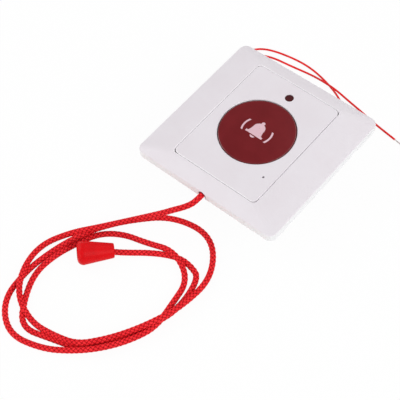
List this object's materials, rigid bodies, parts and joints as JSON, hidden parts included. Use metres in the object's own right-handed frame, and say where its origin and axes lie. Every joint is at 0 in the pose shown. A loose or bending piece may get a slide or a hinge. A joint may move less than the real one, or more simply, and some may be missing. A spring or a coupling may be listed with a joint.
{
  "type": "emergency call button",
  "caption": "Square white wall call point with a large round red push button, an indicator window and a coiled red pull cord ending in a conical knob.",
  "frame": {"origin": "under the middle of the square plate, on the back of the rear housing, which it lies on", "axes": "+Z the way the face looks, +X to the right of the face, +Y to its top; the pull cord leaves at -Y"},
  "size_m": [0.1065, 0.2171, 0.0254],
  "materials": {
    "frame_plastic": "satin moulded white plastic",
    "panel_plastic": "satin moulded white plastic",
    "housing_plastic": "plain moulded white plastic",
    "button_plastic": "glossy deep red",
    "carrier_plastic": "natural white moulding",
    "spring_steel": "bright drawn wire",
    "screw_steel": "zinc plated",
    "lever_steel": "bright rolled strip",
    "tinned_metal": "tinned",
    "crimp_brass": "dull plated brass",
    "board_laminate": "green lacquer",
    "switch_plastic": "black",
    "plunger_plastic": "red",
    "ferrule_plastic": "smooth white",
    "cord_braid": "bright red braid",
    "knob_plastic": "semi-gloss red",
    "lens_plastic": "dark red tinted",
    "led_plastic": "red tinted clear",
    "resistor_body": "beige lacquer with bands",
    "header_plastic": "natural white",
    "bush_rubber": "black",
    "lead_insulation": "smooth red"
  },
  "bodies": {
    "call_point": {"cover_frame": "frame_plastic", "front_panel": "panel_plastic", "mounting_base": "housing_plastic", "rear_housing": "housing_plastic", "case_screws": "screw_steel", "circuit_board": "board_laminate", "board_screws": "screw_steel", "button_spring_upper": "spring_steel", "button_spring_lower": "spring_steel", "call_switch_body": "switch_plastic", "call_switch_pins": "tinned_metal", "pull_switch_body": "switch_plastic", "pull_switch_pins": "tinned_metal", "pull_spring": "spring_steel", "cord_ferrule": "ferrule_plastic", "led_lens": "lens_plastic", "status_led": "led_plastic", "led_legs": "tinned_metal", "led_resistor": "resistor_body", "lead_header": "header_plastic", "lead_bush": "bush_rubber", "lead_wire_a": "lead_insulation", "lead_tip_a": "tinned_metal", "lead_wire_b": "lead_insulation", "lead_tip_b": "tinned_metal"},
    "call_button": {"call_button_cap": "button_plastic", "button_carrier": "carrier_plastic"},
    "call_lever": {"call_switch_lever": "lever_steel"},
    "call_plunger": {"call_switch_plunger": "plunger_plastic"},
    "pull_carriage": {"pull_slider": "carrier_plastic", "cord_crimp": "crimp_brass", "pull_cord_inner": "cord_braid", "pull_cord": "cord_braid", "pull_cord_coil": "cord_braid", "pull_cord_tail": "cord_braid", "cord_knob": "knob_plastic", "cord_end_knot": "cord_braid"},
    "pull_plunger": {"pull_switch_plunger": "plunger_plastic"}
  },
  "joints": [
    {"name": "button_press", "type": "slide", "parent": "call_point", "child": "call_button", "axis": [0, 0, -1], "range_m": [0, 0.002], "stiffness_N_per_m": 900, "springref_m": -0.003, "deforming": ["button_spring_upper", "button_spring_lower"]},
    {"name": "call_lever_turn", "type": "hinge", "parent": "call_point", "child": "call_lever", "pos_m": [-0.0114, 0, 0.01215], "axis": [0, 1, 0], "range_deg": [0, 10]},
    {"name": "call_plunger_press", "type": "slide", "parent": "call_point", "child": "call_plunger", "axis": [0, 0, -1], "range_m": [0, 0.00065]},
    {"name": "cord_pull", "type": "slide", "parent": "call_point", "child": "pull_carriage", "axis": [0, -1, 0], "range_m": [0, 0.0025], "stiffness_N_per_m": 1500, "springref_m": -0.0015, "deforming": ["pull_spring"]},
    {"name": "pull_plunger_press", "type": "slide", "parent": "call_point", "child": "pull_plunger", "axis": [0, 0, -1], "range_m": [0, 0.00076]}
  ],
  "couplings": [
    {"joint": "call_lever_turn", "follows": "button_press", "rad_per_m": 86.5},
    {"joint": "call_plunger_press", "follows": "button_press", "ratio": 0.32},
    {"joint": "pull_plunger_press", "follows": "cord_pull", "ratio": 0.3}
  ]
}
